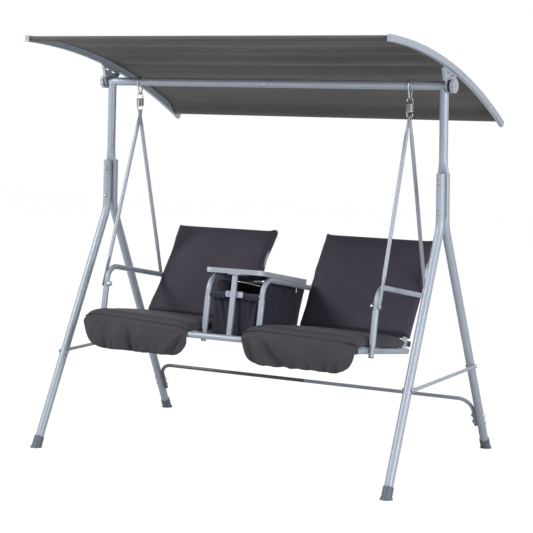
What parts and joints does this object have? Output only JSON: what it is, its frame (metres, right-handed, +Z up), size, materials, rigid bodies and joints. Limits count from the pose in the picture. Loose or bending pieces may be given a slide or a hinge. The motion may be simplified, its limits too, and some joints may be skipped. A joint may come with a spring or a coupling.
{
  "type": "garden swing",
  "caption": "Two-seat garden swing with A-shaped tube stand, tilting fabric canopy, sprung hangers, padded seats, and a centre console with storage bag and swivelling table",
  "frame": {"origin": "on the floor, midway between the four feet", "axes": "+X to the viewer's right along the beam, -Y to the front, +Z up"},
  "size_m": [1.6673, 1.1799, 1.7147],
  "materials": {
    "frame_paint": "satin",
    "zinc": "satin",
    "foot_plastic": "matte",
    "black_plastic": "matte",
    "knob_plastic": "satin",
    "table_plastic": "satin",
    "canopy_fabric": "woven",
    "pad_fabric": "woven",
    "bag_fabric": "woven"
  },
  "bodies": {
    "stand": {"beam_plugs": "black_plastic", "beam_screws": "zinc", "brace_bolts": "zinc", "feet": "foot_plastic", "left_beam": "frame_paint", "left_beam_hook": "zinc", "left_front_leg": "frame_paint", "left_post": "frame_paint", "left_rear_brace": "frame_paint", "left_rear_leg": "frame_paint", "left_side_brace": "frame_paint", "leg_bolts": "zinc", "right_beam": "frame_paint", "right_beam_hook": "zinc", "right_front_leg": "frame_paint", "right_post": "frame_paint", "right_rear_brace": "frame_paint", "right_rear_leg": "frame_paint", "right_side_brace": "frame_paint"},
    "canopy": {"canopy_arm_caps": "black_plastic", "canopy_cloth": "canopy_fabric", "canopy_tubes": "frame_paint", "left_canopy_arm": "frame_paint", "left_canopy_bracket": "frame_paint", "right_canopy_arm": "frame_paint", "right_canopy_bracket": "frame_paint"},
    "left_knob": {"left_knob_base": "black_plastic", "left_tilt_knob": "knob_plastic"},
    "right_knob": {"right_knob_base": "black_plastic", "right_tilt_knob": "knob_plastic"},
    "springs": {"left_spring": "zinc", "right_spring": "zinc"},
    "seat": {"clamp_screws": "zinc", "console_bars": "frame_paint", "console_clamp": "frame_paint", "console_post": "frame_paint", "front_rail": "frame_paint", "left_armrest": "frame_paint", "left_back_frame": "frame_paint", "left_back_pad": "pad_fabric", "left_console_tube": "frame_paint", "left_front_hanger": "frame_paint", "left_rear_hanger": "frame_paint", "left_seat_pad": "pad_fabric", "left_seat_rails": "frame_paint", "post_bush": "black_plastic", "rear_rail": "frame_paint", "right_armrest": "frame_paint", "right_back_frame": "frame_paint", "right_back_pad": "pad_fabric", "right_console_tube": "frame_paint", "right_front_hanger": "frame_paint", "right_rear_hanger": "frame_paint", "right_seat_pad": "pad_fabric", "right_seat_rails": "frame_paint", "seat_bolts": "zinc", "storage_bag": "bag_fabric", "tube_plugs": "black_plastic"},
    "table": {"table_pivot": "frame_paint", "table_top": "table_plastic"}
  },
  "joints": [
    {"name": "canopy_tilt", "type": "hinge", "parent": "stand", "child": "canopy", "pos_m": [0, 0, 1.5375], "axis": [1, 0, 0], "range_deg": [-20, 20]},
    {"name": "left_knob_turn", "type": "hinge", "parent": "stand", "child": "left_knob", "pos_m": [-0.81, 0, 1.5375], "axis": [1, 0, 0], "continuous": true},
    {"name": "right_knob_turn", "type": "hinge", "parent": "stand", "child": "right_knob", "pos_m": [0.81, 0, 1.5375], "axis": [1, 0, 0], "continuous": true},
    {"name": "seat_swing", "type": "hinge", "parent": "stand", "child": "springs", "pos_m": [0, 0, 1.49105], "axis": [1, 0, 0], "range_deg": [-20, 20]},
    {"name": "seat_bounce", "type": "slide", "parent": "springs", "child": "seat", "axis": [0, 0, -1], "range_m": [0, 0.025], "stiffness_N_per_m": 15000, "springref_m": -0.024, "deforming": ["left_spring", "right_spring"]},
    {"name": "table_swivel", "type": "hinge", "parent": "seat", "child": "table", "pos_m": [0, -0.25896, 0.76234], "axis": [0, 0.1822, 0.9833], "range_deg": [-90, 90]}
  ]
}
